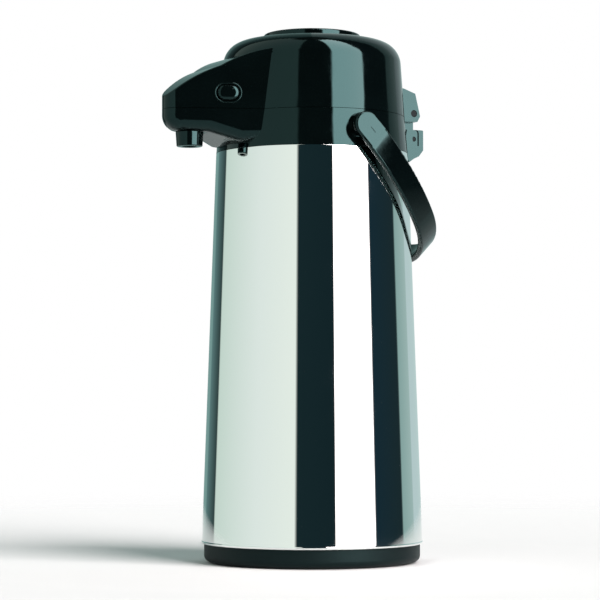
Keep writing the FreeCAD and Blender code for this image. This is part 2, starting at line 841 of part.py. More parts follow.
def stopper():
    flange_top = "deck_bottom + stopper_flange_thickness"
    groove = "plug_bottom + 5"
    body = turned("stopper_blank", [
        ("tube_radius + screw_gap", "plug_bottom"),
        ("plug_radius", "plug_bottom"),
        ("plug_radius", groove),
        ("plug_radius - plug_ring_depth", groove),
        ("plug_radius - plug_ring_depth", f"{groove} + plug_ring_height"),
        ("plug_radius", f"{groove} + plug_ring_height"),
        ("plug_radius", "deck_bottom"),
        ("stopper_flange_radius", "deck_bottom"),
        ("stopper_flange_radius", flange_top),
        ("stopper_head_radius", flange_top),
        ("stopper_head_radius", "stopper_top"),
        ("cap_radius + screw_gap", "stopper_top"),
        ("cap_radius + screw_gap", "chamber_top"),
        ("chamber_radius", "chamber_top"),
        ("chamber_radius", "chamber_bottom"),
        ("tube_radius + screw_gap", "chamber_bottom"),
    ])
    reach = "stopper_head_radius + 2"
    ports = [
        cylinder(f"air_port_{i}", "air_port_radius", "stopper_top - plug_bottom + 4", spot)
        for i, spot in enumerate(screw_spots("plug_bottom - 2", "air_port_circle"))
    ]
    socket = cylinder("pipe_socket", "pipe_radius + screw_gap", f"{reach} - pipe_socket + 2",
                      ("0", "-(pipe_socket - 2)", "pipe_z"), FRONTWARD)
    bore = cylinder("pipe_way", "pipe_bore", reach, ("0", "0", "pipe_z"), FRONTWARD)
    seat = cylinder("pipe_seal_seat", "pipe_radius + ring_section + screw_gap", "6",
                    ("0", "-(stopper_head_radius - ring_section)", "pipe_z"), FRONTWARD)
    node("stopper", cut("stopper_piece", body, socket, bore, seat, *ports))
    node("stopper_seal", turned("stopper_seal", [
        ("plug_radius - plug_ring_depth", groove),
        ("mouth_bore - 0.4", groove),
        ("mouth_bore - 0.1", f"{groove} + plug_ring_height / 3"),
        ("mouth_bore - 0.1", f"{groove} + plug_ring_height * 2 / 3"),
        ("mouth_bore - 0.4", f"{groove} + plug_ring_height"),
        ("plug_radius - plug_ring_depth", f"{groove} + plug_ring_height"),
    ]))
    node("valve_cap", turned("valve_cap", [
        ("0", "chamber_top"),
        ("cap_radius", "chamber_top"),
        ("cap_radius", "stopper_top"),
        ("0", "stopper_top"),
    ]))
    node("dip_tube", turned("dip_tube", ring("tube_radius", "(tube_radius - tube_bore)",
                                             "tube_bottom", "chamber_bottom")))
    ball = doc.addObject("Part::Sphere", "check_ball")
    bind(ball, Radius="ball_radius")
    place(ball, ("0", "0", "chamber_bottom + sqrt(ball_radius ^ 2 - tube_bore ^ 2) + 0.02"))
    node("check_ball", ball)


def pipe_route():
    """Centre line of the delivery pipe: out of the stopper, up a gentle step, then down the nozzle."""
    low, high = value("pipe_z"), value("pipe_top_z")
    corners = [
        (-value("pipe_socket"), low, 0),
        (-value("stopper_head_radius") - 14, low, 14),
        (-value("collar_top_radius") + 4, high, 14),
        (-value("nozzle_y"), high, value("pipe_bend")),
        (-value("nozzle_y"), value("beak_floor") - 4, 0),
    ]
    points = [FreeCAD.Vector(0, y, z) for y, z, _ in corners]
    edges = []
    last = points[0]
    for index in range(1, len(points) - 1):
        before = (points[index] - points[index - 1]).normalize()
        after = (points[index + 1] - points[index]).normalize()
        half = before.getAngle(after) / 2
        radius = corners[index][2]
        entry = points[index] - before * radius * math.tan(half)
        leave = points[index] + after * radius * math.tan(half)
        inward = (after - before).normalize()
        middle = points[index] + inward * (radius / math.cos(half) - radius)
        edges.append(Part.LineSegment(last, entry).toShape())
        edges.append(Part.Arc(entry, middle, leave).toShape())
        last = leave
    edges.append(Part.LineSegment(last, points[-1]).toShape())
    return Part.Wire(edges)


def delivery_pipe():
    route = pipe_route()
    start = route.Vertexes[0].Point

    def swept(radius):
        circle = Part.Circle(start, Y_AXIS, radius)
        return route.makePipeShell([Part.Wire(circle.toShape())], True, True)

    pipe = doc.addObject("Part::Feature", "delivery_pipe")
    pipe.Shape = swept(value("pipe_radius")).cut(swept(value("pipe_bore")))
    node("delivery_pipe", pipe)
    section = "(ring_section - 0.1)"
    seal = turned("pipe_seal", ring("pipe_radius + ring_section", section, "0", section))
    node("pipe_seal", place(seal, ("0", "-(stopper_head_radius - ring_section)", "pipe_z"), FRONTWARD))
    floor_top = "beak_floor + beak_wall"
    body = turned("nozzle", [
        ("nozzle_bore", "nozzle_bottom"),
        ("nozzle_tip_radius", "nozzle_bottom"),
        ("nozzle_radius", "beak_floor"),
        ("nozzle_neck", "beak_floor"),
        ("nozzle_neck", floor_top),
        ("pipe_radius + fit_gap", floor_top),
        ("pipe_radius + fit_gap", "beak_floor - 4"),
        ("nozzle_bore", "beak_floor - 4"),
    ])
    fillet(body, "0.8", ring_edge("nozzle_tip_radius", "nozzle_bottom"))
    node("nozzle", place(body, ("0", "-nozzle_y", "0")))


# ---- lid --------------------------------------------------------------------------------------


def upper_beak(name, inset):
    """Upper half of the beak: its plan, trimmed above to the sloping flat ridge."""
    body = new_body(name)
    pad(body, "XY_Plane", beak_plan(inset), "lid_height", "lid_bottom")
    brow = f"lid_bottom + beak_brow_height - {inset}"
    ridge = f"lid_bottom + beak_ridge_height - {inset}"
    crest = f"lid_bottom + beak_crest_height - {inset}"
    pocket(body, "YZ_Plane", [
        ("-(beak_reach + 20)", brow),
        (f"-(beak_reach + 0.1 - {inset})", brow, "beak_brow_round", "right"),
        ("-beak_ridge_y", ridge, "beak_crest_round", "right"),
        ("-(beak_root - 1)", crest),
        ("-(beak_root - 1)", "lid_top + 20"),
        ("-(beak_reach + 20)", "lid_top + 20"),
    ], "200")
    return body


def dome(name, inset):
    """Lid dome as a solid, inside its skin by the inset."""
    body = turned(name, [
        ("0", "lid_bottom"),
        (f"collar_top_radius - {inset}", "lid_bottom"),
        (f"lid_top_radius - {inset}", f"lid_corner - {inset}"),
        (f"lid_crown_radius - {inset}", f"lid_top - {inset}"),
        ("0", f"lid_top - {inset}"),
    ])
    fillet(body, f"lid_shoulder - {inset}", ring_edge(f"lid_top_radius - {inset}", f"lid_corner - {inset}"))
    return body


def about(across, height, corners):
    """An outline whose corners are given from a pin."""
    return [(f"{across} + ({rear})", f"{height} + ({up})") for rear, up in corners]


def hinge_lug():
    """Twin ears at the back of the lid that carry the hinge pin."""
    body = new_body("hinge_lug")
    pad(body, "YZ_Plane", about("hinge_y", "hinge_z", LUG_CORNERS), "2 * hinge_half_width", symmetric=True)
    slot = "tongue_half_width + tongue_gap"
    clear = "(knuckle_radius + 1.3)"
    pocket(body, "YZ_Plane", [
        (f"hinge_y - {clear}", "hinge_z - 20"),
        ("hinge_y + 20", "hinge_z - 20"),
        ("hinge_y + 20", f"hinge_z + {clear}"),
        (f"hinge_y - {clear}", f"hinge_z + {clear}"),
    ], f"2 * ({slot})")
    return body


def button_space(name, length, width, low, high):
    """Round-ended prism across the right side of the beak, from one depth to another."""
    body = new_body(name)
    half = f"(({length} - {width}) / 2)"
    radius = f"({width} / 2)"
    corners = [
        (f"-{half}", f"-{radius}"),
        (half, f"-{radius}", radius, "left"),
        (f"{half} + {radius}", "0", radius, "left"),
        (half, radius),
        (f"-{half}", radius, radius, "left"),
        (f"-{half} - {radius}", "0", radius, "left"),
    ]
    pad(body, "YZ_Plane", corners, f"{high} - ({low})", low)
    return at_button(body)


def at_button(body):
    """Carry a body that was drawn about the button's centre to the right side of the beak."""
    return swing(body, (beak_half("button_y", "0"), "-button_y", "button_z"), -Z_AXIS, "beak_taper")


def spring_saddle():
    """Rib under the roof of the beak that both button springs push against."""
    body = new_body("spring_saddle")
    front, rear = "button_y + 6", "button_y - 6"
    pad(body, "XY_Plane", [
        (f"-{beak_half(front, 'saddle_inset')}", f"-({front})"),
        (beak_half(front, "saddle_inset"), f"-({front})"),
        (beak_half(rear, "saddle_inset"), f"-({rear})"),
        (f"-{beak_half(rear, 'saddle_inset')}", f"-({rear})"),
    ], "beak_ridge_height", "button_z - button_width / 2")
    roof = upper_beak("beak_roof", "0.5")
    trimmed = doc.addObject("Part::MultiCommon", "spring_saddle_trimmed")
    trimmed.Shapes = [body, roof]
    return trimmed


def lid_cover():
    outer = fuse("lid_skin", dome("dome_skin", "0"), rounded_beak(), hinge_lug())
    hollow = fuse("lid_hollow", dome("dome_hollow", "lid_wall"), upper_beak("beak_hollow", "beak_wall"))
    open_cover = cut("lid_open", outer, hollow)
    guide = turned("plate_guide", [
        ("well_radius", "lid_top - guide_length"),
        ("well_radius + guide_wall", "lid_top - guide_length"),
        ("well_radius + guide_wall", "lid_top"),
        ("well_radius", "lid_top"),
    ])
    posts = [
        cylinder(f"lid_post_{i}", "post_radius", "lid_corner - 5 - lid_base_top", spot)
        for i, spot in enumerate(screw_spots("lid_base_top", "post_circle"))
    ]
    solid = fuse("lid_solid", open_cover, guide, spring_saddle(), *posts)
    well = cylinder("plate_well", "well_radius", "guide_length + 4", ("0", "0", "lid_top - guide_length - 2"))
    pilots = [
        cylinder(f"lid_pilot_{i}", "lid_screw_radius + screw_gap", "lid_screw_length", spot)
        for i, spot in enumerate(screw_spots("lid_base_bottom - 1", "post_circle"))
    ]
    rim = button_space("button_rim_right", "button_rim_length", "button_rim_width",
                       "-button_rim_depth", "4")
    way = button_space("button_way_right", "(button_length + 2 * button_gap)",
                       "(button_width + 2 * button_gap)", "-6", "4")
    pin = cylinder("hinge_pin_hole", "hinge_pin_radius + fit_gap", "4 * hinge_half_width",
                   ("-2 * hinge_half_width", "hinge_y", "hinge_z"), RIGHTWARD)
    catch = block("lock_groove", ("-(lock_width / 2 + 0.6)", "plate_radius - 2",
                                  "lid_top - guide_length - 1"),
                  ("lock_width + 1.2", "plate_gap + guide_wall + 1.2",
                   "guide_length - 1"))
    cuts = [well, pin, catch, rim, way, mirrored("button_rim_left", rim), mirrored("button_way_left", way)]
    node("lid_cover", cut("lid_cover_piece", solid, *cuts, *pilots))


def rounded_beak():
    """Upper beak with its ridge edges slightly broken."""
    body = upper_beak("beak_skin", "0")
    low = value("lid_bottom + beak_brow_height") - 0.5

    def wanted(edge):
        box = edge.BoundBox
        ahead = box.YMax < -value("beak_root") - 0.2 or box.YLength > 5
        return box.ZMin > low and ahead and box.XLength < 60

    fillet(body, "beak_ridge_round", wanted)
    return body


def lid_parts():
    rim = "collar_top_radius - lid_wall - turn_gap"
    blank = turned("lid_base_blank", [
        ("mouth_radius - 3", "pump_floor"),
        ("pump_cup_radius + lid_base_thickness", "pump_floor"),
        ("pump_cup_radius + lid_base_thickness", "lid_base_bottom"),
        (rim, "lid_base_bottom"),
        (rim, "lid_base_top"),
        ("pump_cup_radius", "lid_base_top"),
        ("pump_cup_radius", "pump_seat"),
        ("mouth_radius - 3", "pump_seat"),
    ])
    holes = [
        cylinder(f"lid_base_hole_{i}", "lid_screw_radius + fit_gap", "8", spot)
        for i, spot in enumerate(screw_spots("lid_base_bottom - 2", "post_circle"))
    ]
    node("lid_base", cut("lid_base_piece", blank, *holes))
    screws = [
        screw(f"lid_screw_{i}", "lid_screw_head_radius", "lid_screw_head_height", "lid_screw_radius",
              "lid_screw_length - 2", spot)
        for i, spot in enumerate(screw_spots("lid_base_bottom - lid_screw_head_height", "post_circle"))
    ]
    node("lid_screws", group("lid_screws", screws))
    node("bellows_seal", turned("bellows_seal", [
        ("mouth_radius - 2", "pump_floor - mouth_ring_height"),
        ("mouth_ring", "pump_floor - mouth_ring_height"),
        ("mouth_ring + 2", "pump_floor"),
        ("mouth_radius - 2", "pump_floor"),
    ]))
    node("bellows", turned("bellows", bellows_corners()))
    node("return_spring", coil("return_spring", "spring_radius", "spring_wire", "spring_pitch",
                               "bellows_height - 2 * spring_wire - 0.4",
                               ("0", "0", "pump_seat + spring_wire + 0.2")))


def bellows_corners(folds=6):
    """Zigzag wall between the pump seat and the plunger."""
    step = f"bellows_height / {2 * folds}"
    outer = []
    for index in range(2 * folds + 1):
        crest = "bellows_fold" if index % 2 else "0"
        outer.append((f"bellows_radius - bellows_fold + {crest}", f"pump_seat + {index} * {step}"))
    inner = [(f"{r} - bellows_wall", z) for r, z in reversed(outer)]
    return outer + inner


# ---- push plate, plunger and lock -------------------------------------------------------------


def push_plate():
    blank = turned("push_plate_blank", [
        ("0", "plate_underside"),
        ("plate_radius - plate_skirt_wall", "plate_underside"),
        ("plate_radius - plate_skirt_wall", "skirt_bottom"),
        ("plate_radius", "skirt_bottom"),
        ("plate_radius", "plate_top"),
        ("plate_dish_radius + 2", "plate_top"),
        ("plate_dish_radius", "plate_top - plate_dish"),
        ("0", "plate_top - plate_dish"),
    ])
    fillet(blank, "plate_round", ring_edge("plate_radius", "plate_top"))
    half = "lock_width / 2"
    recess = block("lock_recess", (f"-({half} + fit_gap)", "lock_y - lock_length / 2 - fit_gap",
                                   "plate_top - plate_dish - lock_recess"),
                   ("lock_width + 2 * fit_gap", "lock_length + lock_travel + 2 * fit_gap", "10"))
    slot = block("lock_slot", ("-(lock_stem / 2 + fit_gap)", "lock_y - lock_stem / 2 - fit_gap",
                               "plate_underside - 5"),
                 ("lock_stem + 2 * fit_gap", "lock_stem + lock_travel + 2 * fit_gap", "20"))
    window = block("lock_window", (f"-({half} + fit_gap + 0.2)", "plate_radius - plate_skirt_wall - 4",
                                   "lock_z - 0.4"),
                   ("lock_width + 2 * fit_gap + 0.4", "plate_skirt_wall + 10", "lock_tongue + 0.8"))
    node("push_plate", cut("push_plate_piece", blank, recess, slot, window))
    node("plunger", turned("plunger", [
        ("air_hole", "plunger_bottom"),
        ("plunger_radius", "plunger_bottom"),
        ("plunger_radius", "plunger_bottom + plunger_thickness"),
        ("plunger_hub", "plunger_bottom + plunger_thickness"),
        ("plunger_hub", "plate_underside"),
        ("air_hole", "plate_underside"),
    ]))
    node("air_valve", turned("air_valve", [
        ("0", "plunger_bottom - valve_thickness"),
        ("valve_radius", "plunger_bottom - valve_thickness"),
        ("valve_radius", "plunger_bottom"),
        ("air_hole - fit_gap", "plunger_bottom"),
        ("air_hole - fit_gap", "plunger_bottom + plunger_thickness + 4"),
        ("0", "plunger_bottom + plunger_thickness + 4"),
    ]))
    knob = block("lock_knob", (f"-{half}", "lock_y - lock_length / 2", "lock_seat"),
                 ("lock_width", "lock_length", "plate_top - lock_seat - 0.1"))
    stem = block("lock_stem_block", ("-lock_stem / 2", "lock_y - lock_stem / 2", "lock_z"),
                 ("lock_stem", "lock_stem", "lock_seat - lock_z"))
    tongue = block("lock_tongue_block", (f"-{half}", "lock_y - lock_stem / 2", "lock_z"),
                   ("lock_width", "lock_reach - lock_y + lock_stem / 2", "lock_tongue"))
    node("lock_slider", fuse("lock_slider_piece", knob, stem, tongue))


# ---- release buttons --------------------------------------------------------------------------


def release_buttons():
    behind = "beak_wall + button_gap"
    back = f"-({behind} + button_flange_thickness)"
    pill = button_space("button_pill", "button_length", "button_width", f"-({behind})", "button_stand")
    flange = button_space("button_flange_plate", "(button_length + 2 * button_flange)",
                          "(button_width + 2 * button_flange)", back, f"-({behind})")
    arm = new_body("latch_arm")
    depth = "-(beak_wall + latch_clearance + button_flange_thickness)"
    low = "collar_top - latch_reach - button_z"
    pad(arm, "YZ_Plane", [
        ("-latch_width / 2", low),
        ("latch_width / 2", low),
        ("latch_width / 2", "0"),
        ("-latch_width / 2", "0"),
    ], "button_flange_thickness", depth)
    at_button(arm)
    button = fuse("release_button_right", pill, flange, arm)
    node("release_button_right", button)
    node("release_button_left", mirrored("release_button_left", button))
    height = f"(saddle_inset - ({behind}) - button_flange_thickness - 2 * button_spring_wire - 0.4)"
    spring = coil("button_coil", "button_spring_radius", "button_spring_wire", "button_spring_pitch", height,
                  ("0", "0", "0"))
    doc.recompute()
    turn = FreeCAD.Rotation(-Z_AXIS, value("beak_taper")) * FreeCAD.Rotation(Y_AXIS, -90)
    start = f"({behind} + button_flange_thickness + button_spring_wire + 0.2)"
    spot = (
        f"{beak_half('button_y', '0')} - {start} * cos(beak_taper)",
        f"-button_y + {start} * sin(beak_taper)",
        "button_z",
    )
    place(spring, spot, turn)
    node("button_spring_right", spring)
    node("button_spring_left", mirrored("button_spring_left", spring))


# ---- rear hinge -------------------------------------------------------------------------------


def hinge_parts():
    bracket = new_body("hinge_bracket_blank")
    rear = "hinge_y + bracket_rear"
    pad(bracket, "YZ_Plane", [
        ("collar_top_radius - 4", "collar_top - 16.7"),
        (f"{rear} - 0.5", "collar_top - 16.7"),
        (rear, "collar_top - 3.7"),
        (rear, "collar_top + 0.8"),
        ("hinge_y + knuckle_radius", "hinge_z", "knuckle_radius", "left"),
        ("hinge_y", "hinge_z + knuckle_radius", "knuckle_radius", "left"),
        ("hinge_y - knuckle_radius", "hinge_z"),
        ("hinge_y - 5", "collar_top - 0.5"),
        ("collar_top_radius + 2.5", "collar_top - 3"),
        ("collar_top_radius - 4", "collar_top - 3"),
    ], "2 * tongue_half_width", symmetric=True)
    wall = turned("hinge_bracket_seat", [
        ("0", "shell_top"),
        ("body_top_radius + screw_gap", "shell_top"),
        ("collar_top_radius + screw_gap", "collar_top"),
        ("0", "collar_top"),
    ])
    pin = cylinder("bracket_pin_hole", "hinge_pin_radius + screw_gap", "4 * hinge_half_width",
                   ("-2 * hinge_half_width", "hinge_y", "hinge_z"), RIGHTWARD)
    lever_pin = cylinder("bracket_lever_hole", "lever_pin_radius + screw_gap", "4 * hinge_half_width",
                         ("-2 * hinge_half_width", "lever_pin_y", "lever_pin_z"), RIGHTWARD)
    start = "body_top_radius - 10"
    screw_back = "body_top_radius - collar_wall - 2.1"
    pilots = [
        cylinder(f"bracket_pilot_{i}", "bracket_screw_radius + screw_gap", "bracket_screw_length + 6",
                 ("0", start, height), REARWARD)
        for i, height in enumerate(BRACKET_SCREW_HEIGHTS)
    ]
    node("hinge_bracket", cut("hinge_bracket_piece", bracket, wall, pin, lever_pin, *pilots))
    screws = [
        screw(f"bracket_screw_{i}", "bracket_screw_head", "bracket_screw_head_height",
              "bracket_screw_radius", "bracket_screw_length - 2",
              ("0", f"{screw_back} - bracket_screw_head_height", height), REARWARD)
        for i, height in enumerate(BRACKET_SCREW_HEIGHTS)
    ]
    node("bracket_screws", group("bracket_screws", screws))
    node("hinge_pin", cylinder("hinge_pin", "hinge_pin_radius", "2 * hinge_half_width - 0.8",
                               ("-(hinge_half_width - 0.4)", "hinge_y", "hinge_z"), RIGHTWARD))
    node("lever_pin", cylinder("lever_pin", "lever_pin_radius", "2 * hinge_half_width - 2.4",
                               ("-(hinge_half_width - 1.2)", "lever_pin_y", "lever_pin_z"), RIGHTWARD))


def release_lever():
    body = new_body("release_lever_blank")
    pad(body, "YZ_Plane", about("lever_pin_y", "lever_pin_z", LEVER_CORNERS), "2 * hinge_half_width",
        symmetric=True)
    pocket(body, "YZ_Plane", about("lever_pin_y", "lever_pin_z", LEVER_SLOT),
           "2 * (tongue_half_width + tongue_gap)")
    hole = cylinder("lever_pin_way", "lever_pin_radius + fit_gap", "4 * hinge_half_width",
                    ("-2 * hinge_half_width", "lever_pin_y", "lever_pin_z"), RIGHTWARD)
    dimple = new_body("lever_dimple_right")
    pad(dimple, "YZ_Plane", [
        ("lever_pin_y - 1.6", "lever_pin_z - 5"),
        ("lever_pin_y + 3.6", "lever_pin_z - 5"),
        ("lever_pin_y + 3.6", "lever_pin_z + 4", "2.6", "left"),
        ("lever_pin_y - 1.6", "lever_pin_z + 4"),
    ], "6", "hinge_half_width - dimple_depth")
    node("release_lever", cut("release_lever_piece", body, hole, dimple,
                              mirrored("lever_dimple_left", dimple)))
    spring = new_body("lever_spring")
    pad(spring, "YZ_Plane", about("hinge_y + bracket_rear", "lever_pin_z", LEVER_SPRING),
        "2 * tongue_half_width - 2", symmetric=True)
    node("lever_spring", spring)


# ---- bail handle ------------------------------------------------------------------------------


def at_handle(body):
    return swing(body, ("0", "0", "pivot_z"), X_AXIS, "handle_rest_angle")


def handle_join(inset):
    """Where a side arc of the handle runs into the tip arc, on the right."""
    reach = f"(handle_tip_radius - {inset}) / handle_join_span"
    return (f"handle_side_centre * {reach}", f"-handle_tip_centre - handle_tip_centre * {reach}")


def handle():
    body = new_body("handle_strap")
    outer = handle_join("0")
    inner = handle_join("handle_thickness")
    pad(body, "XZ_Plane", [
        ("handle_half_width", "arm_end"),
        ("arm_inner", "arm_end"),
        ("arm_inner", "0", "(handle_side_radius - handle_thickness)", "right"),
        (inner[0], inner[1], "(handle_tip_radius - handle_thickness)", "right"),
        (f"-({inner[0]})", inner[1], "(handle_side_radius - handle_thickness)", "right"),
        ("-arm_inner", "0"),
        ("-arm_inner", "arm_end"),
        ("-handle_half_width", "arm_end"),
        ("-handle_half_width", "0", "handle_side_radius", "left"),
        (f"-({outer[0]})", outer[1], "handle_tip_radius", "left"),
        (outer[0], outer[1], "handle_side_radius", "left"),
        ("handle_half_width", "0"),
    ], "handle_strap_width", symmetric=True)
    top = value("arm_end")

    def arm_corner(edge):
        box = edge.BoundBox
        return abs(box.ZMin - top) < 0.01 and abs(box.ZMax - top) < 0.01 and box.YLength < 0.01

    fillet(body, "arm_end - 0.1", arm_corner)
    fillet(body, "handle_edge_round", lambda edge: edge.BoundBox.ZMax < 0.01 and edge.BoundBox.YLength < 0.01)
    holes = cylinder("handle_pivot_holes", "pivot_screw_radius + running_gap", "4 * handle_half_width",
                     ("-2 * handle_half_width", "0", "0"), RIGHTWARD)
    sink = cylinder("handle_head_sink_right", "pivot_head_radius + running_gap", "20",
                    ("pivot_head_seat - running_gap", "0", "0"), RIGHTWARD)
    seat = cap_plate("cap_seat_right", "handle_half_width - cap_recess", "20", "0")
    piece = cut("handle_piece", body, holes, sink, seat, mirrored("handle_head_sink_left", sink),
                mirrored("cap_seat_left", seat))
    node("handle", at_handle(piece))


def cap_plate(name, low, length, inset):
    """Tongue-shaped plate about the right pivot: round at the top, square at the tail."""
    body = new_body(name)
    radius = f"(arm_end - cap_margin - {inset})"
    pad(body, "YZ_Plane", [
        (f"-{radius}", f"-(cap_tail - {inset})"),
        (radius, f"-(cap_tail - {inset})"),
        (radius, "0", radius, "left"),
        ("0", radius, radius, "left"),
        (f"-{radius}", "0"),
    ], length, low)
    return body


def pivot_parts():
    plate = cap_plate("pivot_cap_plate", "handle_half_width - cap_recess", "cap_recess + cap_stand", "0.15")
    slot = block("pivot_cap_slot", ("handle_half_width + cap_stand - cap_slot_depth", "-cap_slot_width / 2",
                                    "-cap_slot_length - 3"),
                 ("4", "cap_slot_width", "cap_slot_length"))
    cap = cut("pivot_cap_right", plate, slot)
    node("pivot_cap_right", at_handle(cap))
    node("pivot_cap_left", mirrored("pivot_cap_left", cap))
    length = "pivot_head_seat - pivot_screw_start"
    right = screw("pivot_screw_right", "pivot_head_radius", "pivot_head_height", "pivot_screw_radius", length,
                  ("pivot_head_seat + pivot_head_height", "0", "pivot_z"), FreeCAD.Rotation(Y_AXIS, -90))
    node("pivot_screws", group("pivot_screws", [right, mirrored("pivot_screw_left", right)]))
    washer = turned("pivot_washer_right", ring(
        "washer_radius", "(washer_radius - pivot_screw_radius - screw_gap)", "0", "washer_thickness"))
    place(washer, ("pivot_boss_reach", "0", "pivot_z"), RIGHTWARD)
    node("pivot_washers", group("pivot_washers", [washer, mirrored("pivot_washer_left", washer)]))


# ---- build, check and write -------------------------------------------------------------------


def build():
    for make in (
        swivel_base, outer_shell, base_cup, liner_support, glass_liner, neck_parts, collar, stopper,
        delivery_pipe, lid_cover, lid_parts, push_plate, release_buttons, hinge_parts, release_lever,
        handle, pivot_parts,
    ):
        make()
    doc.recompute()
    for thing in doc.Objects:
        if {"Invalid", "Error"} & set(thing.State):
            raise RuntimeError(f"{thing.Name} failed: {thing.State}")
    for name, thing in NODES.items():
        if thing.Shape.isNull() or not thing.Shape.isValid() or not thing.Shape.Solids:
            raise RuntimeError(f"{name} has no valid solid")
    os.makedirs("parts", exist_ok=True)
    for name, thing in NODES.items():
        thing.Shape.exportStep(f"parts/{name}.step")


build()
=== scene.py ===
"""Looks of the airpot: gloss black mouldings on a mirror-polished steel body, in a plain studio."""

import math

import bpy
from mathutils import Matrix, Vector


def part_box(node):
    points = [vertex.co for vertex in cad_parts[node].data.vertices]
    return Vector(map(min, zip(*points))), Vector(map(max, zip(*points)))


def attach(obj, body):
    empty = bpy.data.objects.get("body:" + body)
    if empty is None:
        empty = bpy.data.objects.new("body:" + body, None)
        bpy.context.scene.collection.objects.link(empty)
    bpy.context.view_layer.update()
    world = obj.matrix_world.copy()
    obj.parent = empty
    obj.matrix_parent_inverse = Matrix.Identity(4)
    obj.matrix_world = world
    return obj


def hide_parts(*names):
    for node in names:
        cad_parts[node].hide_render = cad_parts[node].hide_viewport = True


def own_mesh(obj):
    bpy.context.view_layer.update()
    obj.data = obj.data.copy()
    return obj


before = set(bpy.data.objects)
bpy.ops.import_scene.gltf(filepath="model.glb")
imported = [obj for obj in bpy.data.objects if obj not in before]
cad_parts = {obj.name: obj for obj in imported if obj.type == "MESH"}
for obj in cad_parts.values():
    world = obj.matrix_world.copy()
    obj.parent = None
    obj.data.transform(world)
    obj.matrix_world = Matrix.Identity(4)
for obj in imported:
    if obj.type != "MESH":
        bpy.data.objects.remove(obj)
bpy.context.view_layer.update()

MM = 0.001
UP = Vector((0, 0, 1))
SEGMENTS = 192

# Camera: how far and how high it stands, the way it is turned, and its lens.
CAMERA_AZIMUTH = 60.5
CAMERA_DISTANCE = 1.614
CAMERA_HEIGHT = 0.1191
CAMERA_TILT = 2.36
CAMERA_PAN = 0.303
CAMERA_LENS = 136.1

# Steel body, in mm: its sheet, the round of its top edge, the bead round its foot, how far its ends turn in,
# and the step above the bead with its height.
SHEET = 0.8
TOP_ROUND = 0.5
FOOT_BEAD = 1.5
TURNED_IN = 3.6
FOOT_STEP = 0.35
FOOT_STEP_RISE = 0.5

# The beak's sides taper by this many degrees, so the release buttons face that much towards the spout.
BEAK_TAPER = 23.7

# Release buttons, in mm: how far each stands out, and how far each ring of its crown steps in and rises.
BUTTON_STAND = 0.9
BUTTON_CROWN = ((0.35, 0.35), (0.6, 0.35), (0.9, 0.3), (1.1, 0.15))

# A face counts as facing a way when the cosine between them is above this.
FACE_ON = 0.98

# Raised bead round each release button, in mm: its distance from the button and its own radius.
BEAD_OFFSET = 1.5
BEAD_RADIUS = 0.55


# ---- colours, nodes and materials ---------------------------------------------------------------


def linear(code):
    """sRGB hex to opaque linear colour."""
    channels = [int(code[i:i + 2], 16) / 255 for i in (1, 3, 5)]
    return [c / 12.92 if c <= 0.04045 else ((c + 0.055) / 1.055) ** 2.4 for c in channels] + [1.0]


def per(size_mm):
    """Texture scale whose pattern is this many millimetres across."""
    return 1 / (size_mm * MM)


def add(tree, kind, inputs=None, **settings):
    """Add a node with its settings, and set or link its inputs."""
    made = tree.nodes.new(kind)
    for name, setting in settings.items():
        setattr(made, name, setting)
    for socket, given in (inputs or {}).items():
        if isinstance(given, bpy.types.NodeSocket):
            tree.links.new(given, made.inputs[socket])
        else:
            made.inputs[socket].default_value = given
    return made


def new_material(name):
    material = bpy.data.materials.new(name)
    material.use_nodes = True
    material.node_tree.nodes.clear()
    return material, material.node_tree


def gloss_black_abs():
    """ABS moulded in a polished tool: deep black, sharp reflections, faint flow marks and hand smudges."""
    material, tree = new_material("gloss_black_abs")
    place = add(tree, "ShaderNodeTexCoord").outputs["Object"]
    flow = add(tree, "ShaderNodeTexNoise", {
        "Vector": place, "Scale": per(38), "Detail": 3.0, "Distortion": 0.6})
    tint = add(tree, "ShaderNodeValToRGB", {"Fac": flow.outputs["Fac"]})
    tint.color_ramp.elements[0].color = linear("#010202")
    tint.color_ramp.elements[1].color = linear("#030707")
    smudge = add(tree, "ShaderNodeTexNoise", {
        "Vector": place, "Scale": per(16), "Detail": 5.0, "Roughness": 0.62})
    rub = add(tree, "ShaderNodeMapRange", {
        "Value": smudge.outputs["Fac"], "From Min": 0.42, "From Max": 0.72, "To Min": 0.045,
        "To Max": 0.13})
    peel = add(tree, "ShaderNodeTexNoise", {"Vector": place, "Scale": per(5.5), "Detail": 1.0})
    sink = add(tree, "ShaderNodeTexNoise", {"Vector": place, "Scale": per(14), "Detail": 1.0})
    waves = add(tree, "ShaderNodeBump", {
        "Height": sink.outputs["Fac"], "Strength": 0.35, "Distance": 0.12 * MM})
    bump = add(tree, "ShaderNodeBump", {
        "Height": peel.outputs["Fac"], "Strength": 0.05, "Distance": 0.04 * MM,
        "Normal": waves.outputs["Normal"]})
    shader = add(tree, "ShaderNodeBsdfPrincipled", {
        "Base Color": tint.outputs["Color"], "Roughness": rub.outputs["Result"], "IOR": 1.54,
        "Specular IOR Level": 0.28, "Specular Tint": linear("#b3f7f7"), "Normal": bump.outputs["Normal"]})
    add(tree, "ShaderNodeOutputMaterial", {"Surface": shader.outputs[0]})
    return material


